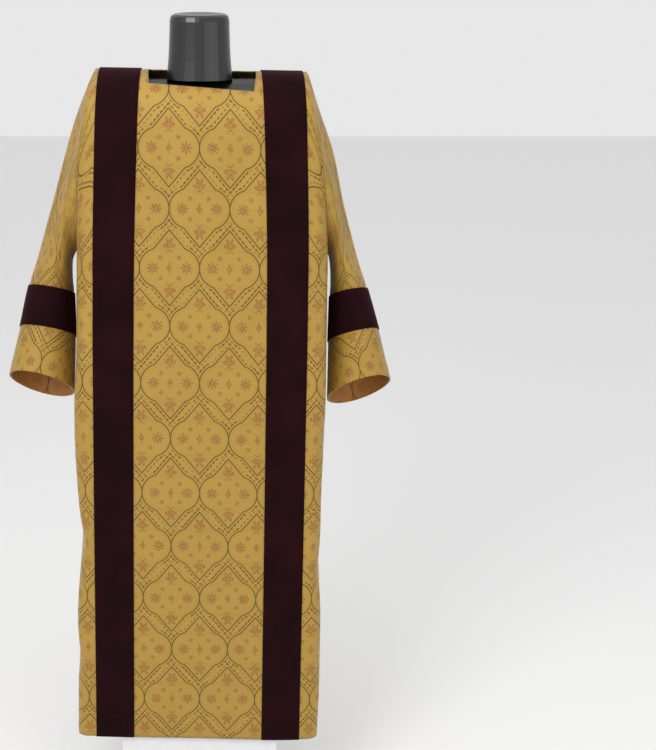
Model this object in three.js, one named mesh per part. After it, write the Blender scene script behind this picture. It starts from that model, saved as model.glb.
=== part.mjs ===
// A dalmatic, the deacon's wide straight robe, on a limbless dress form that stands on a plinth.
// Millimetres, +Z up, the front of the robe faces -Y. The origin is the middle of the plinth's underside.
import * as THREE from 'three';

// ---- cloth and seams ----
const BROCADE = 2.0; // wall of the gold brocade
const VELVET = 1.4; // wall of the velvet bands
const FACING = 1.2; // wall of the strip that faces the cuff inside
const SEAM = 0.3; // gap between neighbouring pieces

// ---- heights of the robe ----
const RIDGE_Z = 1504; // top of the shoulder
const SHOULDER_Z = 1385; // where the shoulder's curve meets the upright front and back
const UNDERARM_Z = 1170; // foot of the armhole
const HEM_Z = 155;

// ---- the armhole, an oval standing across the shoulder ----
const ARM_ROWS = 12; // rows from the shoulder to the underarm
const SKIRT_ROWS = 13; // rows from the underarm to the hem
const ARM_DEPTH = 102; // half the armhole, front to back
const ARM_GAP = 0.45; // room between the panels and the sleeve, sideways
const ARM_MID = (RIDGE_Z + UNDERARM_Z) / 2;
const ARM_HALF = (RIDGE_Z - UNDERARM_Z) / 2;

// ---- the body's shape ----
const SQUARE = 2.4; // power of the oval that the shoulder and the armhole follow
const BOW = 0.05; // share by which the middle of the front and back stands proud
const SHOULDER_TILT = 3.3; // the left shoulder is this much higher than the middle, the right one lower
// Half widths to each hand, half depths and the rounding at the side, by height.
const BODY = [
  { z: 160, left: 252, right: 245, front: 104, back: 104, corner: 20 },
  { z: 260, left: 250, right: 247, front: 105, back: 105, corner: 22 },
  { z: 420, left: 248, right: 246, front: 107, back: 106, corner: 24 },
  { z: 575, left: 238, right: 243, front: 108, back: 106, corner: 26 },
  { z: 676, left: 241, right: 242, front: 109, back: 107, corner: 26 },
  { z: 775, left: 245, right: 244, front: 109, back: 107, corner: 26 },
  { z: 882, left: 244, right: 246, front: 110, back: 107, corner: 26 },
  { z: 980, left: 238, right: 245, front: 110, back: 107, corner: 26 },
  { z: 1100, left: 235, right: 244, front: 110, back: 107, corner: 26 },
  { z: 1170, left: 233, right: 243, front: 110, back: 107, corner: 26 },
  { z: 1255, left: 231, right: 238, front: 110, back: 107, corner: 24 },
  { z: 1327, left: 227, right: 230, front: 110, back: 107, corner: 22 },
  { z: 1401, left: 219, right: 222, front: 110, back: 107, corner: 20 },
  { z: 1470, left: 208, right: 210, front: 110, back: 107, corner: 18 },
  { z: 1504, left: 195, right: 202, front: 110, back: 107, corner: 18 },
];
// How far the hem hangs below HEM_Z, by the distance across the front.
const HEM_DROP = [
  { x: -330, drop: -4 }, { x: -205, drop: -3 }, { x: 0, drop: 0 }, { x: 180, drop: 5 }, { x: 330, drop: 0 },
];
// Soft folds of the body: a trough (or, with a depth below nought, a ridge) along a line on the cloth,
// from (across, z) to (across, z), its half width and its depth. face 1 is the front, -1 the back.
const BODY_FOLDS = [
  { face: 1, x0: -325, z0: 700, x1: -225, z1: 540, width: 26, depth: 7 },
  { face: 1, x0: -330, z0: 420, x1: -238, z1: 300, width: 30, depth: 6 },
  { face: 1, x0: 325, z0: 640, x1: 226, z1: 470, width: 28, depth: 6 },
  { face: 1, x0: -205, z0: 1130, x1: -60, z1: 980, width: 34, depth: 4 },
  { face: 1, x0: 210, z0: 1120, x1: 90, z1: 1000, width: 34, depth: 4 },
  { face: -1, x0: -325, z0: 660, x1: -228, z1: 500, width: 28, depth: 7 },
  { face: -1, x0: 325, z0: 560, x1: 232, z1: 400, width: 26, depth: 6 },
  { face: -1, x0: -110, z0: 1060, x1: -60, z1: 520, width: 42, depth: 4 },
  { face: -1, x0: 95, z0: 1120, x1: 60, z1: 640, width: 46, depth: 4 },
];

// ---- neckline, square, and the two upright bands ----
// Half widths of the neckline to each hand, at its front edge and at the shoulder.
const NECK = [
  { z: 1440, left: 93, right: 99 },
  { z: 1480, left: 93, right: 99 },
  { z: 1504, left: 96, right: 106 },
];
const NECK_FRONT_ROW = 2; // row of the armhole where the front of the neckline is cut
const NECK_BACK_ROW = 0.6;
const NECK_SLANT = { mean: 0.1, side: 0.25 }; // rows by which the front cut falls, and falls to the right
const BAND_WIDTH = 78;
// Inner edge of each band from the centre line, by height.
const BANDS = [
  { z: 160, left: 135, right: 128 },
  { z: 888, left: 127.5, right: 128 },
  { z: 1181, left: 122.5, right: 126.5 },
  { z: 1420, left: 114, right: 119 },
  { z: 1504, left: 110, right: 116 },
];

// ---- sleeves ----
// Each ring after the armhole: its far side, its near side, half its depth, how much higher its front
// hangs than its middle, and how far the front and back swell away from the body.
const SLEEVES = {
  left: [
    { far: 222, far_z: 1444, near: 244, near_z: 1150, half: 99, rise: 2, swell: 7 },
    { far: 246, far_z: 1368, near: 249, near_z: 1134, half: 94, rise: 6, swell: 5 },
    { far: 275, far_z: 1266, near: 250, near_z: 1117, half: 87, rise: 12, swell: 3 },
    { far: 307, far_z: 1165, near: 249, near_z: 1098, half: 79, rise: 19, swell: 0 },
    { far: 334, far_z: 1087, near: 247, near_z: 1073, half: 72, rise: 24, swell: 0 },
    { far: 354, far_z: 1005, near: 246, near_z: 986, half: 68, rise: 28, swell: 0 },
    { far: 367, far_z: 955, near: 248, near_z: 930, half: 66, rise: 34, swell: 0 },
    { far: 380, far_z: 904, near: 251, near_z: 872, half: 65, rise: 40, swell: 0 },
  ],
  right: [
    { far: 222, far_z: 1436, near: 252, near_z: 1148, half: 99, rise: 2, swell: 7 },
    { far: 248, far_z: 1360, near: 256, near_z: 1130, half: 94, rise: 6, swell: 5 },
    { far: 271, far_z: 1258, near: 258, near_z: 1112, half: 87, rise: 12, swell: 3 },
    { far: 301, far_z: 1157, near: 258, near_z: 1092, half: 79, rise: 20, swell: 0 },
    { far: 329, far_z: 1079, near: 257, near_z: 1067, half: 72, rise: 26, swell: 0 },
    { far: 354, far_z: 998, near: 256, near_z: 976, half: 68, rise: 29, swell: 0 },
    { far: 368, far_z: 945, near: 256, near_z: 918, half: 66, rise: 35, swell: 0 },
    { far: 382, far_z: 894, near: 256, near_z: 858, half: 65, rise: 42, swell: 0 },
  ],
};
const BAND_TOP = 5; // ring where the sleeve's band starts
const BAND_FOOT = 6; // and where it ends
const CUFF = 8; // ring at the cuff's edge
// Soft folds of a sleeve: from (degrees round, ring) to (degrees, ring). Nought is the far side, 90 the front.
const SLEEVE_FOLDS = [
  { a0: 52, t0: 0.3, a1: 66, t1: 3.4, width: 15, depth: 7 },
  { a0: 25, t0: 0.5, a1: 30, t1: 4.2, width: 13, depth: -5 },
  { a0: 308, t0: 0.3, a1: 290, t1: 3.6, width: 15, depth: 7 },
  { a0: 335, t0: 0.6, a1: 322, t1: 4.0, width: 14, depth: -4 },
];

// ---- dress form and plinth ----
const TORSO_FLOOR = 800;
// Half widths and half depths of the torso; `square` is the power of its oval, 2 for a true one.
const TORSO = [
  { z: 800, half: 150, depth: 88, square: 2.2 },
  { z: 880, half: 158, depth: 93, square: 2.3 },
  { z: 1010, half: 148, depth: 88, square: 2.3 },
  { z: 1150, half: 158, depth: 92, square: 2.4 },
  { z: 1290, half: 172, depth: 98, square: 2.5 },
  { z: 1375, half: 180, depth: 99, square: 2.6 },
  { z: 1430, half: 182, depth: 90, square: 2.6 },
  { z: 1460, half: 181, depth: 68, square: 2.6 },
  { z: 1480, half: 178, depth: 44, square: 2.5 },
  { z: 1488, half: 172, depth: 26, square: 2.4 },
];
const TORSO_ROWS = 22;
const TORSO_SIDES = 40;
const NECK_SIDES = 40;
// Profile of the neck block from its foot up: half width and height. It is oval, and stands forward.
const NECK_BLOCK = [
  { radius: 62, z: 1489 }, { radius: 60.5, z: 1503 }, { radius: 58.5, z: 1524 }, { radius: 57, z: 1550 },
  { radius: 56, z: 1576 }, { radius: 55.5, z: 1597 }, { radius: 53, z: 1605 }, { radius: 47, z: 1608 },
];
const NECK_OVAL = 0.785; // depth of the neck over its width
const NECK_FORWARD = 24;
const NECK_DISH = 3; // depth of the hollow in the top of the neck
const NECK_TILT = 3.5; // degrees that the top of the neck leans forward
const PLINTH = { width: 320, depth: 190, height: 205 };
const POLE_RADIUS = 20;

// ---- colours ----
const brocade = new THREE.MeshStandardMaterial({ color: 0xbd9440, roughness: 0.55, metalness: 0.1 });
const lining = new THREE.MeshStandardMaterial({ color: 0xa8702a, roughness: 0.6, metalness: 0.1 });
const velvet = new THREE.MeshStandardMaterial({ color: 0x2c060e, roughness: 0.9, metalness: 0 });
const black = new THREE.MeshStandardMaterial({ color: 0x111212, roughness: 0.35, metalness: 0 });
const steel = new THREE.MeshStandardMaterial({ color: 0x9a9a9c, roughness: 0.4, metalness: 0.9 });
const grey = new THREE.MeshStandardMaterial({ color: 0xe2e2e4, roughness: 0.7, metalness: 0 });

// ------------------------------------------------------------------ helpers

const clamp = (value, low, high) => Math.min(high, Math.max(low, value));
const smooth = (value, low, high) => {
  const t = clamp((value - low) / (high - low), 0, 1);
  return t * t * (3 - 2 * t);
};

// Half width of a squared oval of half width 1, at a height of 0 to 1.
const oval = (height) => (1 - height ** SQUARE) ** (1 / SQUARE);

// A named column of a table, read smoothly between its rows. The key column rises.
function along(table, key, column, value) {
  const last = table.length - 1;
  const slope = (k) => {
    const before = table[Math.max(k - 1, 0)];
    const after = table[Math.min(k + 1, last)];
    return (after[column] - before[column]) / (after[key] - before[key]);
  };
  let k = 0;
  while (k < last - 1 && value > table[k + 1][key]) k += 1;
  const span = table[k + 1][key] - table[k][key];
  const t = clamp((value - table[k][key]) / span, 0, 1);
  const from = table[k][column];
  const to = table[k + 1][column];
  const bend = span * (t * (1 - t) ** 2 * slope(k) - t * t * (1 - t) * slope(k + 1));
  return from + (to - from) * t * t * (3 - 2 * t) + bend;
}

// A cubic through four values, between the second and the third.
function between(a, b, c, d, t) {
  const lead = (c - a) / 2;
  const trail = (d - b) / 2;
  return b + lead * t + (3 * (c - b) - 2 * lead - trail) * t * t + (2 * (b - c) + lead + trail) * t ** 3;
}

// Depth of a soft fold at a place: it fades out to both sides of its line and towards both ends.
function foldDepth(u, v, u0, v0, u1, v1, width, depth) {
  const du = u1 - u0;
  const dv = v1 - v0;
  const length = Math.hypot(du, dv);
  const on = ((u - u0) * du + (v - v0) * dv) / length;
  const off = ((u - u0) * dv - (v - v0) * du) / length;
  const fade = smooth(on, -0.25 * length, 0.3 * length) * (1 - smooth(on, 0.7 * length, 1.25 * length));
  return depth * fade * Math.exp(-((off / width) ** 2));
}

// ------------------------------------------------------------------ the body's surface

// Height of a row: 0 is the shoulder ridge, +12 the underarm on the front, -12 on the back.
function rowHeight(row) {
  const n = Math.abs(row);
  if (n <= ARM_ROWS) return ARM_MID + ARM_HALF * Math.cos((Math.PI * n) / ARM_ROWS);
  return UNDERARM_Z - ((UNDERARM_Z - HEM_Z) * (n - ARM_ROWS)) / SKIRT_ROWS;
}

// The level section of the robe at a row, from the centre line round to the armhole or the side seam.
function section(row, hand) {
  const z = rowHeight(row);
  const face = row < 0 ? 'back' : 'front';
  const rise = clamp((z - SHOULDER_Z) / (RIDGE_Z - SHOULDER_Z), 0, 1);
  const depth = along(BODY, 'z', face, z) * oval(rise);
  const reach = along(BODY, 'z', hand, z);
  const corner = along(BODY, 'z', 'corner', z);
  const lean = clamp((z - ARM_MID) / ARM_HALF, -1, 1);
  const end = ARM_DEPTH * oval(Math.abs(lean));
  const turn = Math.acos(Math.max(0, 1 - (depth - end) / corner));
  const flat = reach - corner * Math.sin(turn);
  const flank = Math.max(0, depth - end - corner);
  return { z, depth, reach, corner, turn, flat, total: flat + corner * turn + flank };
}

// A point of the robe's outside, `across` measured on the cloth from the centre line, and its outward side.
function bodyPoint(row, across) {
  const sign = across < 0 ? -1 : 1;
  const hand = across < 0 ? 'left' : 'right';
  const away = Math.abs(across);
  let level = row;
  if (row > 0 && row < 2 * NECK_FRONT_ROW) {
    const near = Math.sin((Math.PI * row) / (2 * NECK_FRONT_ROW)) ** 2;
    const edge = 1 - smooth(away, NECK[0].right, NECK[0].right + 70);
    level += near * edge * (NECK_SLANT.mean + NECK_SLANT.side * clamp(across / 100, -1, 1));
  }
  const cut = section(level, hand);
  const face = row < 0 ? 1 : -1;
  const swing = clamp((away - cut.flat) / cut.corner, 0, cut.turn);
  const beyond = Math.max(0, away - cut.flat - cut.corner * cut.turn);
  const x = Math.min(away, cut.flat) + cut.corner * Math.sin(swing);
  const y = cut.depth - cut.corner * (1 - Math.cos(swing)) - beyond;
  const proud = 1 + BOW * (1 - (x / cut.reach) ** 2);
  const low = clamp((UNDERARM_Z - cut.z) / (UNDERARM_Z - HEM_Z), 0, 1);
  const drop = along(HEM_DROP, 'x', 'drop', across) * low * low;
  const tilt = SHOULDER_TILT * clamp(across / 190, -1, 1) * smooth(cut.z, 1200, RIDGE_Z);
  let sunk = 0;
  for (const f of BODY_FOLDS) {
    if (f.face === -face) sunk += foldDepth(across, cut.z, f.x0, f.z0, f.x1, f.z1, f.width, f.depth);
  }
  sunk *= smooth(cut.total - away, 0, 30);
  const px = sign * (x - sunk * Math.sin(swing));
  const py = face * (y * proud - sunk * Math.cos(swing));
  return new THREE.Vector3(px, py, cut.z - tilt - drop);
}

// Where a column of the panel grid runs on a row. The columns 2, 3 and 5 lie on the side of the neckline
// and on the two edges of the band, and 11 is the armhole or the side seam.
const COLUMNS = 11;
const NECK_COLUMN = 2;
function columnAcross(column, row) {
  const hand = column < 0 ? 'left' : 'right';
  const cut = section(row, hand);
  const inner = along(BANDS, 'z', hand, cut.z);
  const marks = [
    { at: 0, across: 0 },
    { at: NECK_COLUMN, across: along(NECK, 'z', hand, cut.z) },
    { at: 3, across: inner },
    { at: 5, across: inner + BAND_WIDTH },
    { at: COLUMNS, across: cut.total },
  ];
  const n = Math.min(Math.abs(column), COLUMNS);
  let k = 0;
  while (n > marks[k + 1].at) k += 1;
  const t = (n - marks[k].at) / (marks[k + 1].at - marks[k].at);
  return Math.sign(column) * (marks[k].across + t * (marks[k + 1].across - marks[k].across));
}
const panelPoint = (row, column) => bodyPoint(row, columnAcross(column, row));

// ------------------------------------------------------------------ the sleeve's surface

// The row of the panels that an angle round the armhole meets.
const armRow = (angle) => ((angle <= 180 ? angle : angle - 360) / 180) * ARM_ROWS;

// A point on one ring of a sleeve. Angle 0 is the far (upper) side, 90 the front, 180 the underarm.
function ringPoint(side, ring, angle) {
  if (ring === 0) {
    const point = panelPoint(armRow(angle), side * COLUMNS);
    point.x += side * ARM_GAP;
    return point;
  }
  const s = SLEEVES[side < 0 ? 'left' : 'right'][ring - 1];
  const turn = THREE.MathUtils.degToRad(angle);
  const x = (s.far + s.near) / 2 + ((s.far - s.near) / 2) * Math.cos(turn) + s.swell * Math.sin(turn) ** 2;
  const z = (s.far_z + s.near_z) / 2 + ((s.far_z - s.near_z) / 2) * Math.cos(turn) + s.rise * Math.sin(turn);
  return new THREE.Vector3(side * x, -s.half * Math.sin(turn), z);
}

function sleevePoint(side, ring, angle) {
  const round = ((angle % 360) + 360) % 360;
  const k = clamp(Math.floor(ring), 0, CUFF - 1);
  const rings = [k - 1, k, k + 1, k + 2].map((n) => ringPoint(side, clamp(n, 0, CUFF), round));
  const axis = (name) => between(...rings.map((p) => p[name]), ring - k);
  const point = new THREE.Vector3(axis('x'), axis('y'), axis('z'));
  let sunk = 0;
  for (const f of SLEEVE_FOLDS) {
    sunk += foldDepth(round, 20 * ring, f.a0, 20 * f.t0, f.a1, 20 * f.t1, f.width, f.depth);
  }
  const turn = THREE.MathUtils.degToRad(round);
  point.x -= side * sunk * Math.cos(turn);
  point.y += sunk * Math.sin(turn);
  return point;
}

// ------------------------------------------------------------------ walls of cloth

// The outward side of a surface given by a function of two numbers. `flip` turns it round.
function outward(surface, u, v, flip) {
  const step = 0.02;
  const du = surface(u + step, v).sub(surface(u - step, v));
  const dv = surface(u, v + step).sub(surface(u, v - step));
  return du.cross(dv).normalize().multiplyScalar(flip);
}

// A closed wall between two offsets of a surface, over a grid of its two numbers. Cells for which `open`
// says true are left out, and `loop` joins the last column to the first. `out` may give the outward side.
function wall(surface, us, vs, { from, to, flip = 1, loop = false, open = () => false, out = null }) {
  const columns = loop ? vs.length : vs.length - 1;
  const positions = [];
  const index = [];
  const corner = (i, j, layer) => (i * vs.length + (j % vs.length)) * 2 + layer;
  for (const u of us) {
    for (const v of vs) {
      const away = (out && out(u, v)) || outward(surface, u, v, flip);
      for (const offset of [to, from]) {
        const p = surface(u, v).addScaledVector(away, offset);
        positions.push(p.x, p.y, p.z);
      }
    }
  }
  const kept = (i, j) => {
    if (i < 0 || i >= us.length - 1) return false;
    if (!loop && (j < 0 || j >= columns)) return false;
    return !open(i, (j + columns) % columns);
  };
  const quad = (a, b, c, d) => {
    if (flip > 0) index.push(a, b, c, a, c, d);
    else index.push(a, c, b, a, d, c);
  };
  for (let i = 0; i < us.length - 1; i += 1) {
    for (let j = 0; j < columns; j += 1) {
      if (!kept(i, j)) continue;
      quad(corner(i, j, 0), corner(i + 1, j, 0), corner(i + 1, j + 1, 0), corner(i, j + 1, 0));
      quad(corner(i, j, 1), corner(i, j + 1, 1), corner(i + 1, j + 1, 1), corner(i + 1, j, 1));
      if (!kept(i - 1, j)) quad(corner(i, j, 0), corner(i, j + 1, 0), corner(i, j + 1, 1), corner(i, j, 1));
      if (!kept(i + 1, j)) {
        quad(corner(i + 1, j, 0), corner(i + 1, j, 1), corner(i + 1, j + 1, 1), corner(i + 1, j + 1, 0));
      }
      if (!kept(i, j - 1)) quad(corner(i, j, 0), corner(i, j, 1), corner(i + 1, j, 1), corner(i + 1, j, 0));
      if (!kept(i, j + 1)) {
        quad(corner(i, j + 1, 0), corner(i + 1, j + 1, 0), corner(i + 1, j + 1, 1), corner(i, j + 1, 1));
      }
    }
  }
  return closed(positions, index);
}

// A geometry from points and triangles, with the points that no triangle uses taken out.
function closed(positions, index) {
  const place = new Map();
  const kept = [];
  const tight = index.map((n) => {
    if (!place.has(n)) {
      place.set(n, kept.length / 3);
      kept.push(...positions.slice(3 * n, 3 * n + 3));
    }
    return place.get(n);
  });
  const geometry = new THREE.BufferGeometry();
  geometry.setAttribute('position', new THREE.Float32BufferAttribute(kept, 3));
  geometry.setIndex(tight);
  geometry.computeVertexNormals();
  return geometry;
}

function piece(name, geometry, material) {
  const mesh = new THREE.Mesh(geometry, material);
  mesh.name = name;
  return mesh;
}

const count = (from, to, step = 1) => {
  const steps = Math.round((to - from) / step);
  return Array.from({ length: steps + 1 }, (_, k) => from + k * step);
};

// ------------------------------------------------------------------ the pieces of the robe

const LAST_ROW = ARM_ROWS + SKIRT_ROWS;
const SEAM_ROW = 0.001; // rows of half a seam at the ridge
const frontRows = [SEAM_ROW, ...count(1, LAST_ROW)];
const backRows = [SEAM_ROW, NECK_BACK_ROW, 1.3, ...count(2, LAST_ROW)];
const columns = count(-COLUMNS, COLUMNS);

// The side seams run down the middle of each side, so each panel stops half a seam short of them.
const shortOf = (surface) => (row, column) => {
  const point = surface(row, column);
  const face = row < 0 ? 1 : -1;
  if (Math.abs(column) > COLUMNS - 0.5 && Math.abs(row) >= ARM_ROWS) point.y += (face * SEAM) / 2;
  return point;
};

function panel(face) {
  const rows = face > 0 ? frontRows : backRows.toReversed().map((row) => -row);
  const neckRow = face > 0 ? NECK_FRONT_ROW : NECK_BACK_ROW;
  const inNeck = (i) => Math.max(Math.abs(rows[i]), Math.abs(rows[i + 1])) < neckRow + 0.01;
  const open = (i, j) => inNeck(i) && Math.abs(columns[j] + 0.5) < NECK_COLUMN;
  return wall(shortOf(panelPoint), rows, columns, { from: -BROCADE, to: 0, open });
}

// A band lies on the front and the back and runs over the shoulder unbroken.
function band(side) {
  const rows = [...backRows.slice(1).toReversed().map((row) => -row), 0, ...frontRows.slice(1)];
  const edges = side > 0 ? [3, 4, 5] : [-5, -4, -3];
  return wall(panelPoint, rows, edges, { from: SEAM, to: SEAM + VELVET });
}

// Angles round a sleeve that meet the rows of both panels at the armhole.
const rounds = [
  ...count(0, ARM_ROWS).map((row) => (row * 180) / ARM_ROWS),
  ...backRows.filter((row) => row > SEAM_ROW && row < ARM_ROWS).toReversed().map((row) => 360 - (row * 180) / ARM_ROWS),
];

// At the armhole a sleeve's wall stands square to the panels, so that both edges meet face to face.
function tube(side, rings, offsets) {
  const surface = (ring, angle) => sleevePoint(side, ring, angle);
  const out = (ring, angle) => ring === 0 && outward(panelPoint, armRow(angle), side * COLUMNS, 1);
  return wall(surface, rings, rounds, { ...offsets, flip: -side, loop: true, out });
}

function sleeve(side) {
  return tube(side, [0, 0.5, 1, 1.5, 2, 3, 4, BAND_TOP, BAND_FOOT, 7, CUFF], { from: -BROCADE, to: 0 });
}
function sleeveBand(side) {
  return tube(side, [BAND_TOP, BAND_FOOT], { from: SEAM, to: SEAM + VELVET });
}
function cuffFacing(side) {
  return tube(side, [BAND_FOOT, 7, CUFF], { from: -BROCADE - SEAM - FACING, to: -BROCADE - SEAM });
}

// ------------------------------------------------------------------ the dress form

// The torso is lofted through ovals, and closed with a flat foot and a low crown.
function torso() {
  const top = TORSO.at(-1).z;
  const positions = [];
  for (let i = 0; i <= TORSO_ROWS; i += 1) {
    const z = TORSO_FLOOR + (top - TORSO_FLOOR) * Math.sin((Math.PI / 2) * (i / TORSO_ROWS));
    const half = along(TORSO, 'z', 'half', z);
    const depth = along(TORSO, 'z', 'depth', z);
    const power = 2 / along(TORSO, 'z', 'square', z);
    for (let j = 0; j < TORSO_SIDES; j += 1) {
      const turn = (2 * Math.PI * j) / TORSO_SIDES;
      const c = Math.cos(turn);
      const s = Math.sin(turn);
      positions.push(half * Math.sign(c) * Math.abs(c) ** power, depth * Math.sign(s) * Math.abs(s) ** power, z);
    }
  }
  const foot = positions.length / 3;
  positions.push(0, 0, TORSO_FLOOR);
  positions.push(0, 0, top);
  const index = [];
  const at = (i, j) => i * TORSO_SIDES + (j % TORSO_SIDES);
  for (let j = 0; j < TORSO_SIDES; j += 1) {
    for (let i = 0; i < TORSO_ROWS; i += 1) {
      index.push(at(i, j), at(i, j + 1), at(i + 1, j + 1), at(i, j), at(i + 1, j + 1), at(i + 1, j));
    }
    index.push(foot, at(0, j + 1), at(0, j), foot + 1, at(TORSO_ROWS, j), at(TORSO_ROWS, j + 1));
  }
  return closed(positions, index);
}

// The neck block is turned, and its dished top leans forward.
function neckBlock() {
  const profile = NECK_BLOCK.map((ring) => new THREE.Vector2(ring.radius, ring.z));
  const top = NECK_BLOCK.at(-1);
  const floor = NECK_BLOCK[0].z;
  profile.unshift(new THREE.Vector2(0, floor));
  profile.push(new THREE.Vector2(top.radius / 2, top.z - NECK_DISH * 0.75));
  profile.push(new THREE.Vector2(0, top.z - NECK_DISH));
  const geometry = new THREE.LatheGeometry(profile, NECK_SIDES);
  geometry.rotateX(Math.PI / 2);
  geometry.scale(1, NECK_OVAL, 1);
  const points = geometry.getAttribute('position');
  const lean = Math.tan(THREE.MathUtils.degToRad(NECK_TILT));
  for (let k = 0; k < points.count; k += 1) {
    const share = smooth(points.getZ(k), floor + 20, top.z);
    points.setZ(k, points.getZ(k) + share * lean * points.getY(k));
  }
  return geometry;
}

// ------------------------------------------------------------------ the whole

const robe = new THREE.Group();
robe.add(piece('front_panel', panel(1), brocade));
robe.add(piece('back_panel', panel(-1), brocade));
for (const side of [-1, 1]) {
  const hand = side < 0 ? 'left' : 'right';
  robe.add(piece(`band_${hand}`, band(side), velvet));
  robe.add(piece(`sleeve_${hand}`, sleeve(side), brocade));
  robe.add(piece(`sleeve_band_${hand}`, sleeveBand(side), velvet));
  robe.add(piece(`cuff_facing_${hand}`, cuffFacing(side), lining));
}

const form = new THREE.Group();
form.add(piece('form_torso', torso(), black));
const neck = piece('form_neck', neckBlock(), black);
neck.position.y = -NECK_FORWARD;
form.add(neck);
const plinth = piece('plinth', new THREE.BoxGeometry(PLINTH.width, PLINTH.depth, PLINTH.height), grey);
plinth.position.z = PLINTH.height / 2;
form.add(plinth);
const poleLength = TORSO_FLOOR - PLINTH.height - 2 * SEAM;
const pole = piece('form_pole', new THREE.CylinderGeometry(POLE_RADIUS, POLE_RADIUS, poleLength, 24), steel);
pole.rotation.x = Math.PI / 2;
pole.position.z = PLINTH.height + SEAM + poleLength / 2;
form.add(pole);

const dalmatic = new THREE.Group();
dalmatic.add(robe, form);
export default dalmatic;
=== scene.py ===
# %% [markdown]
# # A gold brocade dalmatic on a dress form
# The robe is a straight tunic with a square neck, wide sleeves and dark velvet bands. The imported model
# gives the sizes and the collision shapes; this lesson makes the cloth that is seen. Each panel starts as a
# flat grid that is laid on the robe's surface, because a grid keeps the weave's own measure in its UV map.

# %% Load the frame
import math

import bmesh
import bpy
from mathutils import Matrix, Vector


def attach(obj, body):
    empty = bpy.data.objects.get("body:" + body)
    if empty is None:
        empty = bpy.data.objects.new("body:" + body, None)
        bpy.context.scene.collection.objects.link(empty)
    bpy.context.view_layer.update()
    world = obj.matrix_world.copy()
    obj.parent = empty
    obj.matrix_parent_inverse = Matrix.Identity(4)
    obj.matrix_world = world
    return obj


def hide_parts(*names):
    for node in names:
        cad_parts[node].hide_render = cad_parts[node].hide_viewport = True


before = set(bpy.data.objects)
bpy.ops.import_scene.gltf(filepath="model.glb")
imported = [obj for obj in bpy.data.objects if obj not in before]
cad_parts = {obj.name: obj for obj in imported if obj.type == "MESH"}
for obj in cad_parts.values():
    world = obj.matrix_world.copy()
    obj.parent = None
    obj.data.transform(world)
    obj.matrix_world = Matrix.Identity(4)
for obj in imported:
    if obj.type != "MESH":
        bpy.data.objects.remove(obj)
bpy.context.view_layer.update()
MM = 0.001
print("nodes:", sorted(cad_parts))

# %% [markdown]
# The camera stands 2.8 m in front of the robe at 1.7 m, a little above the shoulders, and looks down. The
# framing leaves room at one side, so the lens is shifted and the camera itself stays square to the robe.

# %% Camera
LENS, SHIFT = 69.65, 0.1713
CAMERA_PLACE, CAMERA_TILT = (0, -2.792, 1.701), 15.9
camera_data = bpy.data.cameras.new("camera")
camera_data.lens = LENS
camera_data.shift_x = SHIFT
camera = bpy.data.objects.new("camera", camera_data)
camera.location = CAMERA_PLACE
camera.rotation_euler = (math.radians(90 - CAMERA_TILT), 0, 0)
bpy.context.scene.collection.objects.link(camera)
bpy.context.scene.camera = camera
bpy.context.scene.view_settings.view_transform = "Standard"

# %% [markdown]
# ## The robe's surface
# Tables give the half widths, the depths and the bands by height, in millimetres. Between their rows the
# values run smoothly. A `row` counts from the shoulder (0) to the underarm (12) and on to the hem (25),
# with a minus sign on the back, and `across` is measured on the cloth from the centre line.

# %% Sizes of the robe
RIDGE_Z, SHOULDER_Z, UNDERARM_Z, HEM_Z = 1504, 1385, 1170, 155
ARM_ROWS, SKIRT_ROWS, ARM_DEPTH = 12, 13, 102
ARM_MID = (RIDGE_Z + UNDERARM_Z) / 2
ARM_HALF = (RIDGE_Z - UNDERARM_Z) / 2
SQUARE, BOW, SHOULDER_TILT = 2.4, 0.05, 3.3
BODY = {
    "z": (160, 260, 420, 575, 676, 775, 882, 980, 1100, 1170, 1255, 1327, 1401, 1470, 1504),
    "left": (252, 250, 248, 238, 241, 245, 244, 238, 235, 233, 231, 227, 219, 208, 195),
    "right": (245, 247, 246, 243, 242, 244, 246, 245, 244, 243, 238, 230, 222, 210, 202),
    "front": (104, 105, 107, 108, 109, 109, 110, 110, 110, 110, 110, 110, 110, 110, 110),
    "back": (104, 105, 106, 106, 107, 107, 107, 107, 107, 107, 107, 107, 107, 107, 107),
    "corner": (20, 22, 24, 26, 26, 26, 26, 26, 26, 26, 24, 22, 20, 18, 18),
}
HEM_DROP = {"x": (-330, -205, 0, 180, 330), "drop": (-4, -3, 0, 5, 0)}
NECK = {"z": (1440, 1480, 1504), "left": (93, 93, 96), "right": (99, 99, 106)}
BANDS = {
    "z": (160, 888, 1181, 1420, 1504),
    "left": (135, 127.5, 122.5, 114, 110),
    "right": (128, 128, 126.5, 119, 116),
}
BAND_WIDTH = 78
NECK_FRONT_ROW, NECK_BACK_ROW = 2, 0.6
NECK_SLANT = (0.1, 0.25)
BROCADE, VELVET = 2.0, 1.4


# %% [markdown]
# `along` reads a table smoothly, and `smooth` is a soft step. A fold is a trough along a short line on the
# cloth: deepest on the line, fading to both sides and to both ends.

# %% Helpers
def clamp(value, low, high):
    return min(high, max(low, value))


def smooth(value, low, high):
    t = clamp((value - low) / (high - low), 0, 1)
    return t * t * (3 - 2 * t)


def along(table, key, column, value):
    keys, values = table[key], table[column]
    last = len(keys) - 1

    def slope(k):
        a, b = max(k - 1, 0), min(k + 1, last)
        return (values[b] - values[a]) / (keys[b] - keys[a])

    k = 0
    while k < last - 1 and value > keys[k + 1]:
        k += 1
    span = keys[k + 1] - keys[k]
    t = clamp((value - keys[k]) / span, 0, 1)
    bend = span * (t * (1 - t) ** 2 * slope(k) - t * t * (1 - t) * slope(k + 1))
    return values[k] + (values[k + 1] - values[k]) * t * t * (3 - 2 * t) + bend


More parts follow.
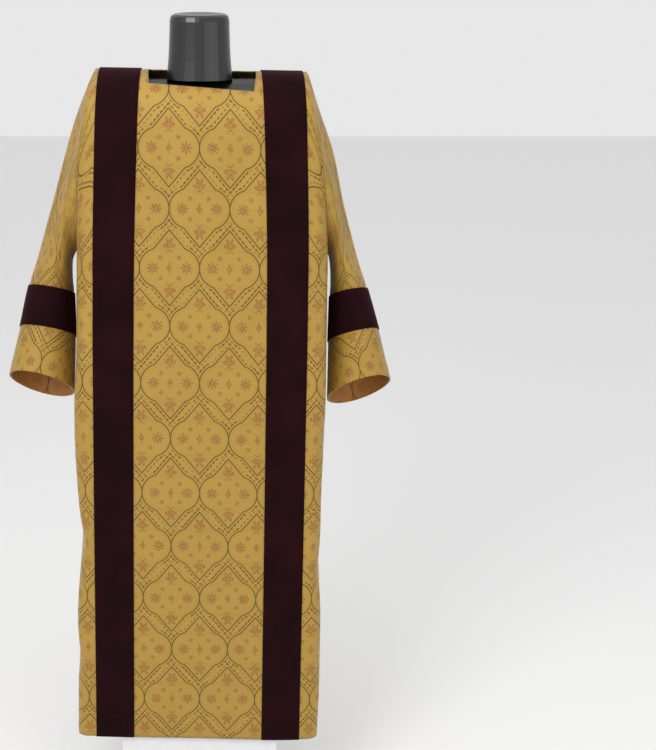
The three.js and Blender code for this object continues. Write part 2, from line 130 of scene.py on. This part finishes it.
def between(a, b, c, d, t):
    lead, trail = (c - a) / 2, (d - b) / 2
    return b + lead * t + (3 * (c - b) - 2 * lead - trail) * t * t + (2 * (b - c) + lead + trail) * t**3


def fold_depth(u, v, u0, v0, u1, v1, width, depth):
    du, dv = u1 - u0, v1 - v0
    length = math.hypot(du, dv)
    on = ((u - u0) * du + (v - v0) * dv) / length
    off = ((u - u0) * dv - (v - v0) * du) / length
    if abs(off) > 3 * width:
        return 0
    fade = smooth(on, -0.25 * length, 0.3 * length) * (1 - smooth(on, 0.7 * length, 1.25 * length))
    return depth * fade * math.exp(-((off / width) ** 2))


# %% [markdown]
# The folds of the body are placed one by one: long soft pulls from the lower sides, a few shallow drags from
# the underarms, and slight standing waves on the back. Depths below nought are ridges.

# %% Folds of the body: face (1 front, -1 back), across, z, across, z, half width, depth
BODY_FOLDS = (
    (1, -325, 700, -225, 540, 26, 7),
    (1, -330, 420, -238, 300, 30, 6),
    (1, 325, 640, 226, 470, 28, 6),
    (1, -205, 1130, -60, 980, 34, 4),
    (1, 210, 1120, 90, 1000, 34, 4),
    (-1, -325, 660, -228, 500, 28, 7),
    (-1, 325, 560, 232, 400, 26, 6),
    (-1, -110, 1060, -60, 520, 42, 4),
    (-1, 95, 1120, 60, 640, 46, 4),
)
FINE_FOLDS = (
    (1, -236, 1210, -212, 1010, 9, 3.0),
    (1, -240, 760, -210, 600, 10, 2.5),
    (1, -252, 520, -214, 410, 9, 2.8),
    (1, -245, 360, -216, 250, 10, -2.2),
    (1, 238, 1190, 214, 1000, 10, 3.0),
    (1, 250, 820, 222, 660, 10, 2.4),
    (1, 246, 420, 220, 280, 11, -2.4),
    (1, -70, 1400, -30, 1080, 26, 1.8),
    (1, 84, 1390, 52, 1120, 28, 1.8),
    (1, -60, 520, -84, 210, 34, -2.4),
    (1, 70, 480, 92, 200, 36, 2.4),
    (-1, -236, 1200, -214, 980, 10, 3.0),
    (-1, 238, 1180, 216, 960, 10, 3.0),
    (-1, -66, 1440, -20, 1200, 24, 2.2),
    (-1, 72, 1440, 40, 1180, 24, 2.2),
    (-1, -248, 420, -220, 240, 12, 2.6),
    (-1, 30, 560, 66, 200, 40, 2.6),
)


# %% [markdown]
# A level cut through the robe is a flat front, a rounded corner and a short flank. `section` works out how
# much cloth each part takes, and `body_point` walks that far along it and presses in the folds.

# %% The body's surface
def oval(height):
    return (1 - height**SQUARE) ** (1 / SQUARE)


def row_height(row):
    n = abs(row)
    if n <= ARM_ROWS:
        return ARM_MID + ARM_HALF * math.cos(math.pi * n / ARM_ROWS)
    return UNDERARM_Z - (UNDERARM_Z - HEM_Z) * (n - ARM_ROWS) / SKIRT_ROWS


def section(row, hand):
    z = row_height(row)
    face = "back" if row < 0 else "front"
    rise = clamp((z - SHOULDER_Z) / (RIDGE_Z - SHOULDER_Z), 0, 1)
    depth = along(BODY, "z", face, z) * oval(rise)
    reach = along(BODY, "z", hand, z)
    corner = along(BODY, "z", "corner", z)
    lean = clamp((z - ARM_MID) / ARM_HALF, -1, 1)
    end = ARM_DEPTH * oval(abs(lean))
    turn = math.acos(clamp(1 - (depth - end) / corner, 0, 1))
    flat = reach - corner * math.sin(turn)
    flank = max(0, depth - end - corner)
    return z, depth, reach, corner, turn, flat, flat + corner * turn + flank


def body_point(row, across):
    sign, hand, away = (-1, "left", -across) if across < 0 else (1, "right", across)
    level = row
    if 0 < row < 2 * NECK_FRONT_ROW:
        near = math.sin(math.pi * row / (2 * NECK_FRONT_ROW)) ** 2
        edge = 1 - smooth(away, NECK["right"][0], NECK["right"][0] + 70)
        level += near * edge * (NECK_SLANT[0] + NECK_SLANT[1] * clamp(across / 100, -1, 1))
    z, depth, reach, corner, turn, flat, total = section(level, hand)
    face = 1 if row < 0 else -1
    swing = clamp((away - flat) / corner, 0, turn)
    beyond = max(0, away - flat - corner * turn)
    x = min(away, flat) + corner * math.sin(swing)
    y = depth - corner * (1 - math.cos(swing)) - beyond
    proud = 1 + BOW * (1 - (x / reach) ** 2)
    low = clamp((UNDERARM_Z - z) / (UNDERARM_Z - HEM_Z), 0, 1)
    drop = along(HEM_DROP, "x", "drop", across) * low * low
    tilt = SHOULDER_TILT * clamp(across / 190, -1, 1) * smooth(z, 1200, RIDGE_Z)
    sunk = sum(fold_depth(across, z, *f[1:]) for f in BODY_FOLDS + FINE_FOLDS if f[0] == -face)
    sunk *= smooth(total - away, 0, 30)
    px = sign * (x - sunk * math.sin(swing))
    py = face * (y * proud - sunk * math.cos(swing))
    return Vector((px, py, z - tilt - drop)) * MM


# %% [markdown]
# The columns of a panel follow the cut: the side of the neckline, both edges of the band, and the armhole or
# side seam. So the neckline can be cut out of the grid along a column, and a band follows its own two.

# %% Columns of the panels
COLUMNS, NECK_COLUMN = 11, 2


def column_across(column, row):
    hand = "left" if column < 0 else "right"
    z, depth, reach, corner, turn, flat, total = section(row, hand)
    inner = along(BANDS, "z", hand, z)
    at = (0, NECK_COLUMN, 3, 5, COLUMNS)
    across = (0, along(NECK, "z", hand, z), inner, inner + BAND_WIDTH, total)
    n = min(abs(column), COLUMNS)
    k = 0
    while n > at[k + 1]:
        k += 1
    t = (n - at[k]) / (at[k + 1] - at[k])
    return math.copysign(across[k] + t * (across[k + 1] - across[k]), column)


# %% [markdown]
# ## The sleeves' surface
# A sleeve is a tube through rings. The first ring is the armhole itself, and the last is the cuff, which
# hangs with its front higher than its back. Its far side falls from the shoulder, and the near side bunches.

# %% Rings of the sleeves: far x, far z, near x, near z, half depth, rise of the front, swell
SLEEVES = {
    -1: (
        (222, 1444, 244, 1150, 99, 2, 7),
        (246, 1368, 249, 1134, 94, 6, 5),
        (275, 1266, 250, 1117, 87, 12, 3),
        (307, 1165, 249, 1098, 79, 19, 0),
        (334, 1087, 247, 1073, 72, 24, 0),
        (354, 1005, 246, 986, 68, 28, 0),
        (367, 955, 248, 930, 66, 34, 0),
        (380, 904, 251, 872, 65, 40, 0),
    ),
    1: (
        (222, 1436, 252, 1148, 99, 2, 7),
        (248, 1360, 256, 1130, 94, 6, 5),
        (271, 1258, 258, 1112, 87, 12, 3),
        (301, 1157, 258, 1092, 79, 20, 0),
        (329, 1079, 257, 1067, 72, 26, 0),
        (354, 998, 256, 976, 68, 29, 0),
        (368, 945, 256, 918, 66, 35, 0),
        (382, 894, 256, 858, 65, 42, 0),
    ),
}
BAND_TOP, BAND_FOOT, CUFF = 5, 6, 8
ARM_GAP = 0.45
# degrees, ring, degrees, ring, half width, depth; nought degrees is the far side and 90 the front
SLEEVE_FOLDS = (
    (52, 0.3, 66, 3.4, 15, 7),
    (25, 0.5, 30, 4.2, 13, -5),
    (308, 0.3, 290, 3.6, 15, 7),
    (335, 0.6, 322, 4.0, 14, -4),
)
SLEEVE_FINE = (
    (78, 0.5, 96, 3.0, 9, 3.5),
    (38, 1.2, 44, 4.4, 7, 2.4),
    (70, 3.2, 50, 4.9, 9, 2.2),
    (282, 0.6, 262, 3.0, 9, 3.5),
    (318, 1.4, 312, 4.2, 8, 2.4),
    (66, 6.3, 60, 7.6, 12, 1.6),
    (300, 6.3, 306, 7.6, 12, 1.6),
    (120, 1.2, 106, 4.2, 10, 2.6),
)


# %% [markdown]
# Between its rings the tube runs in a smooth curve, so `sleeve_point` takes the two rings before a place and
# the two after it. The folds are pressed towards the sleeve's middle.

# %% The sleeve's surface
def ring_point(side, ring, angle):
    if ring == 0:
        row = (angle if angle <= 180 else angle - 360) / 180 * ARM_ROWS
        point = body_point(row, column_across(side * COLUMNS, row)) / MM
        point.x += side * ARM_GAP
        return point
    far, far_z, near, near_z, half, rise, swell = SLEEVES[side][ring - 1]
    c, s = math.cos(math.radians(angle)), math.sin(math.radians(angle))
    x = (far + near) / 2 + (far - near) / 2 * c + swell * s * s
    z = (far_z + near_z) / 2 + (far_z - near_z) / 2 * c + rise * s
    return Vector((side * x, -half * s, z))


def sleeve_point(side, ring, angle):
    turned = angle % 360
    k = clamp(math.floor(ring), 0, CUFF - 1)
    rings = [ring_point(side, clamp(n, 0, CUFF), turned) for n in (k - 1, k, k + 1, k + 2)]
    point = between(*rings, ring - k)
    sunk = 0
    for a0, t0, a1, t1, width, depth in SLEEVE_FOLDS + SLEEVE_FINE:
        sunk += fold_depth(turned, 20 * ring, a0, 20 * t0, a1, 20 * t1, width, depth)
    turn = math.radians(turned)
    point.x -= side * sunk * math.cos(turn)
    point.y += sunk * math.sin(turn)
    return point * MM


# %% [markdown]
# ## From a grid to a piece of cloth
# `cloth` makes a grid with one vertex for each pair of surface numbers, lays it on the surface, cuts holes,
# and writes a UV map in metres on the cloth, so every weave keeps its scale. `shell` gives it thickness.

# %% Cloth maker
def cloth(name, us, vs, point, width_at, loop=False, hole=None, foot=0.0, lift=0.0):
    bm = bmesh.new()
    bmesh.ops.create_grid(bm, x_segments=len(us) - 1, y_segments=len(vs) - 1, size=0.5)
    uv = bm.loops.layers.uv.new("weave")
    spot = {}
    for vert in bm.verts:
        spot[vert] = (round((vert.co.x + 0.5) * (len(us) - 1)), round((vert.co.y + 0.5) * (len(vs) - 1)))
    places = [[point(u, v) for v in vs] for u in us]
    lengths = [[0.0] * len(vs) for _ in us]
    for i in range(len(us) - 2, -1, -1):
        for j in range(len(vs)):
            lengths[i][j] = lengths[i + 1][j] + (places[i][j] - places[i + 1][j]).length
    for vert, (i, j) in spot.items():
        vert.co = places[i][j]
    if hole:
        gone = [f for f in bm.faces if all(hole(us[spot[v][0]], vs[spot[v][1]]) for v in f.verts)]
        bmesh.ops.delete(bm, geom=gone, context="FACES")
    for face in bm.faces:
        for corner in face.loops:
            i, j = spot[corner.vert]
            corner[uv].uv = (width_at(us[i], vs[j]), foot + lengths[i][j])
    if loop:
        bmesh.ops.remove_doubles(bm, verts=bm.verts, dist=1e-6)
    bmesh.ops.recalc_face_normals(bm, faces=bm.faces)
    if sum(f.normal.dot(f.calc_center_median() - middle_of(name, f)) for f in bm.faces) < 0:
        bmesh.ops.reverse_faces(bm, faces=bm.faces)
    bm.normal_update()
    if lift:
        moved = [(v, v.co + v.normal * lift) for v in bm.verts]
        for vert, place in moved:
            vert.co = place
    area = sum(f.calc_area() for f in bm.faces)
    mesh = bpy.data.meshes.new(name)
    bm.to_mesh(mesh)
    bm.free()
    piece = bpy.data.objects.new(name, mesh)
    bpy.context.scene.collection.objects.link(piece)
    mesh.polygons.foreach_set("use_smooth", [True] * len(mesh.polygons))
    print(f"{name}: {len(mesh.polygons)} faces, {area:.3f} m2 of cloth")
    return piece, area


def middle_of(name, face):
    """A point inside the piece, level with a face, that the outward side faces away from."""
    place = face.calc_center_median()
    if "sleeve" in name or "cuff" in name:
        side = -1 if "left" in name else 1
        share = clamp((1.46 - place.z) / 0.55, 0, 1)
        return Vector((side * (0.215 + 0.1 * share), 0, place.z))
    return Vector((0, 0, min(place.z, 1.38)))


def shell(piece, thickness, offset):
    wall = piece.modifiers.new("wall", "SOLIDIFY")
    wall.thickness = thickness * MM
    wall.offset = offset
    wall.use_even_offset = False


def steps(low, high, count):
    return [low + (high - low) * k / count for k in range(count + 1)]


# %% [markdown]
# ## Shader maths in plain expressions
# `Sock` wraps one output of a node. Adding, multiplying or comparing two of them adds the Math nodes, so a
# pattern reads like a formula. `Finish` starts a material with its shader and gives every other node.

# %% Shader helpers
class Sock:
    def __init__(self, tree, socket):
        self.tree, self.socket = tree, socket

    def math(self, operation, *others):
        node = self.tree.nodes.new("ShaderNodeMath")
        node.operation = operation
        for k, value in enumerate((self, *others)):
            if isinstance(value, Sock):
                self.tree.links.new(value.socket, node.inputs[k])
            else:
                node.inputs[k].default_value = value
        return Sock(self.tree, node.outputs[0])

    def flipped(self, operation, value):
        node = self.tree.nodes.new("ShaderNodeMath")
        node.operation = operation
        node.inputs[0].default_value = value
        self.tree.links.new(self.socket, node.inputs[1])
        return Sock(self.tree, node.outputs[0])

    def __add__(self, other):
        return self.math("ADD", other)

    def __sub__(self, other):
        return self.math("SUBTRACT", other)

    def __mul__(self, other):
        return self.math("MULTIPLY", other)

    def __truediv__(self, other):
        return self.math("DIVIDE", other)

    def __rsub__(self, value):
        return self.flipped("SUBTRACT", value)

    __radd__ = __add__
    __rmul__ = __mul__

    def abs(self):
        return self.math("ABSOLUTE")

    def least(self, other):
        return self.math("MINIMUM", other)

    def most(self, other):
        return self.math("MAXIMUM", other)

    def wrap(self, low, high):
        node = self.tree.nodes.new("ShaderNodeMath")
        node.operation = "WRAP"
        self.tree.links.new(self.socket, node.inputs[0])
        node.inputs[1].default_value = high
        node.inputs[2].default_value = low
        return Sock(self.tree, node.outputs[0])

    def below(self, edge, soft):
        """1 where the value is under an edge, 0 over it, with a soft step between."""
        node = self.tree.nodes.new("ShaderNodeMapRange")
        node.interpolation_type = "SMOOTHSTEP"
        self.tree.links.new(self.socket, node.inputs["Value"])
        node.inputs["From Min"].default_value = edge - soft
        node.inputs["From Max"].default_value = edge + soft
        node.inputs["To Min"].default_value = 1
        node.inputs["To Max"].default_value = 0
        return Sock(self.tree, node.outputs["Result"])


class Finish:
    def __init__(self, name, **inputs):
        self.material = bpy.data.materials.new(name)
        self.material.use_nodes = True
        self.tree = self.material.node_tree
        self.shader = self.tree.nodes["Principled BSDF"]
        for key, value in inputs.items():
            self.shader.inputs[key.replace("_", " ")].default_value = value

    def node(self, kind, settings=(), output=0, **values):
        node = self.tree.nodes.new(kind)
        for key, value in dict(settings).items():
            setattr(node, key, value)
        for key, value in values.items():
            socket = node.inputs[key.replace("_", " ")]
            if isinstance(value, Sock):
                self.tree.links.new(value.socket, socket)
            else:
                socket.default_value = value
        return Sock(self.tree, node.outputs[output])

    def split(self, vector):
        node = self.tree.nodes.new("ShaderNodeSeparateXYZ")
        self.tree.links.new(vector.socket, node.inputs[0])
        return [Sock(self.tree, node.outputs[k]) for k in range(3)]

    def mix(self, factor, a, b):
        node = self.tree.nodes.new("ShaderNodeMix")
        node.data_type = "RGBA"
        for socket, value in ((node.inputs[0], factor), (node.inputs[6], a), (node.inputs[7], b)):
            if isinstance(value, Sock):
                self.tree.links.new(value.socket, socket)
            else:
                socket.default_value = value
        return Sock(self.tree, node.outputs[2])

    def feed(self, key, value):
        self.tree.links.new(value.socket, self.shader.inputs[key])

    def bump(self, height, distance, strength=1.0):
        node = self.tree.nodes.new("ShaderNodeBump")
        node.inputs["Strength"].default_value = strength
        node.inputs["Distance"].default_value = distance
        self.tree.links.new(height.socket, node.inputs["Height"])
        self.tree.links.new(node.outputs[0], self.shader.inputs["Normal"])


# %% [markdown]
# ## The brocade
# A traditional figured satin: pointed quatrefoils in half drop, 113 mm wide and 225 mm high, drawn by a thin
# dark line, with a channel of leaf dashes between them and clusters of small flowers inside. Each quatrefoil
# is two round lobes and a pointed cap, all folded about its centre, so one quarter is worked out.

# %% Brocade
REPEAT_W, REPEAT_H = 0.113, 0.225
CENTRE_V = 1.034


def quatrefoil(x, y):
    """Distance from the outline of one quatrefoil, in metres, under nought inside."""
    px, py = x - 0.0185, y
    lobe = (px * px + py * py).math("SQRT") - 0.038
    cap = ((x * 1.217) + y - 0.0725) * 0.635
    cap = cap.most(0.033 - y)
    return lobe.least(cap)


def flower(x, y, cx, cy, wide, tall, petals):
    """1 in the petals of a flower at (cx, cy), from its polar outline."""
    dx, dy = (x - cx) * (1 / wide), (y - cy) * (1 / tall)
    radius = (dx * dx + dy * dy).math("SQRT")
    angle = dy.math("ARCTAN2", dx)
    edge = (angle * petals).math("COSINE") * 0.22 + 0.78
    ring = ((radius / edge) * 15.7).math("COSINE")
    return (radius / edge).below(1.0, 0.1) * (ring * 0.35 + 0.65)


def brocade(name, ground, line, blossom, rough):
    f = Finish(name, Roughness=rough, Sheen_Weight=0.15, Sheen_Roughness=0.4, Specular_IOR_Level=0.5)
    u, v, _ = f.split(f.node("ShaderNodeUVMap", {"uv_map": "weave"}))
    v = v - CENTRE_V
    half_w, half_h = REPEAT_W / 2, REPEAT_H / 2
    ax, ay = u.wrap(-half_w, half_w).abs(), v.wrap(-half_h, half_h).abs()
    bx, by = (u - half_w).wrap(-half_w, half_w).abs(), (v - half_h).wrap(-half_h, half_h).abs()
    distance = quatrefoil(ax, ay).least(quatrefoil(bx, by))
    outline = distance.abs().below(0.0012, 0.0006)
    dash = ((u * 520).math("SINE") * (v * 410).math("SINE")).below(0.05, 0.35)
    leaves = (distance - 0.0058).abs().below(0.0016, 0.0008) * (1 - dash)
    second = (distance + 0.0042).abs().below(0.0003, 0.0004) * 0.3
    blossoms = None
    for x, y in ((ax, ay), (bx, by)):
        inside = quatrefoil(x, y).below(-0.004, 0.001)
        group = flower(x, y, 0.032, 0.0, 0.0125, 0.0125, 8)
        group = group.most(flower(x, y, 0.0, 0.043, 0.0125, 0.0175, 6))
        group = group.most(flower(x, y, 0.0, 0.0, 0.006, 0.011, 4))
        group = group.most(flower(x, y, 0.0175, 0.0195, 0.0055, 0.0055, 5))
        group = group * inside
        blossoms = group if blossoms is None else blossoms.most(group)
    coordinates = f.node("ShaderNodeUVMap", {"uv_map": "weave"})
    speckle = f.node("ShaderNodeTexVoronoi", {"feature": "F1"}, Vector=coordinates, Scale=620.0)
    glint = speckle.below(0.30, 0.14)
    patch = f.node("ShaderNodeTexNoise", Vector=coordinates, Scale=9.0, Detail=2.0)
    grain = f.node("ShaderNodeTexNoise", Vector=coordinates, Scale=900.0, Detail=1.0)
    colour = f.mix(patch.below(0.5, 0.25) * 0.35, ground, [c * 0.86 for c in ground[:3]] + [1])
    colour = f.mix(second + grain.below(0.48, 0.1) * 0.14, colour, line)
    colour = f.mix(blossoms * (1.0 - glint * 0.5), colour, blossom)
    colour = f.mix(glint * (blossoms * 0.55 + 0.12), colour, (0.72, 0.50, 0.18, 1))
    colour = f.mix(outline.most(leaves) * 0.95, colour, line)
    f.feed("Base Color", colour)
    f.feed("Roughness", rough + blossoms * 0.14 + outline * 0.1)
    ribs = (v * (2 * math.pi / 0.0009)).math("SINE") * 0.25
    f.bump(ribs + blossoms * 1.2 + glint * 0.7 + outline * -0.8, 0.00025, 0.7)
    f.shader.inputs["Metallic"].default_value = 0.25
    return f.material


gold = brocade(
    "gold_brocade",
    ground=(0.42, 0.255, 0.035, 1),
    line=(0.12, 0.058, 0.004, 1),
    blossom=(0.24, 0.075, 0.01, 1),
    rough=0.46,
)
# The cuff facing is the same brocade. Its darker, more orange colours are painted shade inside the cuff,
# warmed by painted light bounced off the gold.
shaded_facing_gold = brocade(
    "cuff_inside_shaded",
    ground=(0.34, 0.13, 0.012, 1),
    line=(0.10, 0.035, 0.003, 1),
    blossom=(0.25, 0.07, 0.008, 1),
    rough=0.5,
)


# %% [markdown]
# ## Velvet, form and plinth
# Velvet is nearly black face on and glows red where the pile turns away, which the sheen gives. The pole and
# the plinth are plain, with faint grain. The form is smooth gloss black.

# %% Other finishes
def velvet_finish():
    f = Finish("burgundy_velvet", Sheen_Weight=0.1, Sheen_Roughness=0.3, Specular_IOR_Level=0.1)
    f.shader.inputs["Sheen Tint"].default_value = (0.5, 0.04, 0.1, 1)
    place = f.node("ShaderNodeTexCoord", output=3)
    nap = f.node("ShaderNodeTexNoise", Vector=place, Scale=14.0, Detail=3.0)
    pile = f.node("ShaderNodeTexNoise", Vector=place, Scale=1100.0, Detail=1.0)
    f.feed("Base Color", f.mix(nap.below(0.5, 0.2), (0.016, 0.0015, 0.003, 1), (0.009, 0.001, 0.002, 1)))
    f.feed("Roughness", pile * 0.2 + 0.8)
    f.bump(pile, 0.0006, 0.6)
    return f.material


def plain_finish(name, colour, rough, grain_scale, grain, metallic=0.0, coat=0.0):
    f = Finish(name, Metallic=metallic, Coat_Weight=coat)
    place = f.node("ShaderNodeTexCoord", output=3)
    grains = f.node("ShaderNodeTexNoise", Vector=place, Scale=grain_scale, Detail=3.0)
    darker = [c * 0.86 for c in colour[:3]] + [1]
    f.feed("Base Color", f.mix(grains, darker, colour))
    f.feed("Roughness", grains * 0.12 + rough)
    f.bump(grains, grain, 0.4)
    return f.material


velvet = velvet_finish()
form_black = plain_finish("form_black", (0.006, 0.0065, 0.0065, 1), 0.26, 6.0, 0.0004, coat=0.3)
pole_steel = plain_finish("pole_steel", (0.5, 0.5, 0.52, 1), 0.28, 90.0, 0.0001, metallic=1.0)
plinth_grey = plain_finish("plinth_grey", (0.78, 0.78, 0.80, 1), 0.6, 40.0, 0.0001)

# %% [markdown]
# ## Front and back
# Each panel is one length of cloth from the hem to the shoulder. The square neck is cut out of the grid. The
# rows are finer near the shoulder, where the cloth turns over, and even below.

# %% Panels
RIDGE_ROW = 0.001
ROWS = [RIDGE_ROW] + steps(0.1, 2, 19) + steps(2.1, 12, 60) + steps(12.1, 25, 112)
LEFT_COLUMNS = steps(-COLUMNS, -5, 26) + steps(-5, -3, 8) + [-2.5]
RIGHT_COLUMNS = [2.5] + steps(3, 5, 8) + steps(5, COLUMNS, 26)
SIDES = sorted(set(LEFT_COLUMNS + steps(-2, 2, 24) + RIGHT_COLUMNS))
SEAM = 0.15


def panel_point(row, column):
    point = body_point(row, column_across(column, row))
    if abs(column) > COLUMNS - 0.01 and abs(row) >= ARM_ROWS:
        point.y += (1 if row < 0 else -1) * SEAM * MM
    return point


def panel_width(row, column):
    return column_across(column, row) * MM


def make_panel(node, face):
    rows = [face * row for row in ROWS]
    edge = NECK_FRONT_ROW if face > 0 else NECK_BACK_ROW

    def hole(row, column):
        return abs(row) < edge + 0.001 and abs(column) < NECK_COLUMN + 0.001

    piece, area = cloth(f"{node}_cloth", rows, SIDES, panel_point, panel_width, hole=hole, foot=HEM_Z * MM)
    shell(piece, BROCADE, -1)
    piece.data.materials.append(gold)
    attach(piece, "root")
    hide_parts(node)
    return piece, area


front, front_area = make_panel("front_panel", 1)
back, back_area = make_panel("back_panel", -1)


# %% [markdown]
# ## Bands over the shoulders
# A velvet band lies on the front and the back and runs over the shoulder in one length. It is made from the
# same surface, lifted by 0.6 mm, so it follows every fold of the panel under it.

# %% Upright bands
LIFT = 0.6 * MM


def make_band(node, side):
    rows = [-row for row in reversed(ROWS)] + [0] + ROWS
    columns = [side * c for c in steps(3, 5, 12)]
    piece, area = cloth(f"{node}_velvet", rows, columns, panel_point, panel_width, foot=0.0, lift=LIFT)
    shell(piece, VELVET, 1)
    piece.data.materials.append(velvet)
    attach(piece, "root")
    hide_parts(node)
    return piece, area


bands = [make_band("band_left", -1), make_band("band_right", 1)]


# %% [markdown]
# ## Sleeves, their bands and the cuff facings
# A sleeve is a grid wrapped round the rings and closed along the underarm. The band is the same surface
# between two rings, lifted. The facing is the same surface inside the cuff.

# %% Sleeves
# the grid closes at the underarm, 180 degrees from the far side, where a real sleeve is sewn up
ROUND = steps(-180, 180, 96)
FACING_INSET = 2.5 * MM


def girth(side, ring):
    places = [sleeve_point(side, ring, angle) for angle in ROUND]
    return sum((b - a).length for a, b in zip(places, places[1:]))


def sleeve_length(side, angle):
    places = [sleeve_point(side, ring, angle) for ring in steps(0, CUFF, 96)]
    return sum((b - a).length for a, b in zip(places, places[1:]))


def sleeve_piece(name, side, rings, lift=0.0):
    def point(ring, angle):
        return sleeve_point(side, ring, angle)

    rounds = {ring: girth(side, ring) for ring in rings}

    def width(ring, angle):
        return side * angle / 360 * rounds[ring]

    return cloth(name, rings, ROUND, point, width, loop=True, foot=0.0, lift=lift)


def finish_piece(piece, node, material, thickness, offset):
    shell(piece, thickness, offset)
    piece.data.materials.append(material)
    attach(piece, "root")
    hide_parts(node)


sleeves = {}
for side, hand in ((-1, "left"), (1, "right")):
    sleeve, area = sleeve_piece(f"sleeve_{hand}_cloth", side, steps(0, CUFF, 96))
    finish_piece(sleeve, f"sleeve_{hand}", gold, BROCADE, -1)
    band_rings = steps(BAND_TOP, BAND_FOOT, 14)
    ring_band, band_area = sleeve_piece(f"sleeve_{hand}_velvet", side, band_rings, LIFT)
    finish_piece(ring_band, f"sleeve_band_{hand}", velvet, VELVET, 1)
    facing_rings = steps(BAND_FOOT, CUFF, 20)
    facing, facing_area = sleeve_piece(f"cuff_{hand}_facing", side, facing_rings, -FACING_INSET)
    # the facing's darker brocade is painted shade inside the cuff, not a different cloth
    finish_piece(facing, f"cuff_facing_{hand}", shaded_facing_gold, 1.0, -1)
    sleeves[hand] = (sleeve, area, ring_band, band_area, facing, facing_area)

# %% [markdown]
# ## Form, pole and plinth
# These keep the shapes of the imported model. Only their finish is new.

# %% Form and plinth
for node, material in (
    ("form_torso", form_black),
    ("form_neck", form_black),
    ("form_pole", pole_steel),
    ("plinth", plinth_grey),
):
    solid = bpy.data.objects[node]
    solid.data.materials.clear()
    solid.data.materials.append(material)

# %% [markdown]
# ## The cut
# Each sheet's flat rectangle, the one it would be cut from, is printed. These sizes are measured here on the
# finished surface, so they follow from the shape and don't test it. A panel loses its neck and armholes, the
# bands are straight strips, and a sleeve tapers from the armhole to the cuff and closes at the underarm.

def panel_cut(face):
    """Greatest width across the panel and its length up the line beside the neck, both on the cloth."""
    rows = [face * row for row in ROWS]
    wide = max(panel_width(row, COLUMNS) - panel_width(row, -COLUMNS) for row in rows)
    places = [panel_point(row, NECK_COLUMN) for row in rows]
    return wide, sum((b - a).length for a, b in zip(places, places[1:]))


def ring_cut(side, low, high):
    """Greatest girth and greatest length between two rings."""
    rings = steps(low, high, 12)
    longest = max(
        sum((sleeve_point(side, b, a) - sleeve_point(side, c, a)).length for c, b in zip(rings, rings[1:]))
        for a in steps(-180, 180, 24)
    )
    return max(girth(side, ring) for ring in rings), longest


def declare(piece, flat, area):
    print(f"{piece.name}: cut {flat[0]:.3f} x {flat[1]:.3f} m, cloth {area:.3f} m2")


for piece, area, face in ((front, front_area, 1), (back, back_area, -1)):
    declare(piece, panel_cut(face), area)
for piece, area in bands:
    declare(piece, (BAND_WIDTH * MM, area / (BAND_WIDTH * MM)), area)
for side, hand in ((-1, "left"), (1, "right")):
    sleeve, area, ring_band, band_area, facing, facing_area = sleeves[hand]
    longest = max(sleeve_length(side, angle) for angle in steps(-180, 180, 24))
    declare(sleeve, (girth(side, 0), longest), area)
    declare(ring_band, ring_cut(side, BAND_TOP, BAND_FOOT), band_area)
    declare(facing, ring_cut(side, BAND_FOOT, CUFF), facing_area)
    print(f"sleeve_{hand}: {girth(side, 0):.3f} m round at the armhole, {girth(side, CUFF):.3f} at the cuff")

# %% [markdown]
# ## Studio
# A wide pale floor under an even white sky, one soft key light, a weaker fill and a weak top light.

# %% Studio
floor_mesh = bpy.data.meshes.new("floor")
bm = bmesh.new()
bmesh.ops.create_grid(bm, x_segments=1, y_segments=1, size=12)
bm.to_mesh(floor_mesh)
bm.free()
floor = bpy.data.objects.new("floor", floor_mesh)
bpy.context.scene.collection.objects.link(floor)
floor.data.materials.append(plain_finish("floor_white", (0.92, 0.92, 0.92, 1), 0.8, 400.0, 0.0001))

world = bpy.data.worlds.new("studio")
world.use_nodes = True
world.node_tree.nodes["Background"].inputs["Color"].default_value = (1, 1, 1, 1)
world.node_tree.nodes["Background"].inputs["Strength"].default_value = 0.8
bpy.context.scene.world = world
# name, place, size in metres, power in watts
LIGHTS = (
    ("key", (-1.6, -3.0, 3.0), 1.6, 62),
    ("fill", (2.2, -2.8, 1.8), 2.4, 16),
    ("top", (0, -0.6, 3.6), 2.0, 16),
)
for name, place, size, power in LIGHTS:
    lamp = bpy.data.lights.new(name, "AREA")
    lamp.size = size
    lamp.energy = power
    light = bpy.data.objects.new(name, lamp)
    light.location = place
    light.rotation_euler = (Vector((0, 0, 0.95)) - Vector(place)).to_track_quat("-Z", "Y").to_euler()
    bpy.context.scene.collection.objects.link(light)
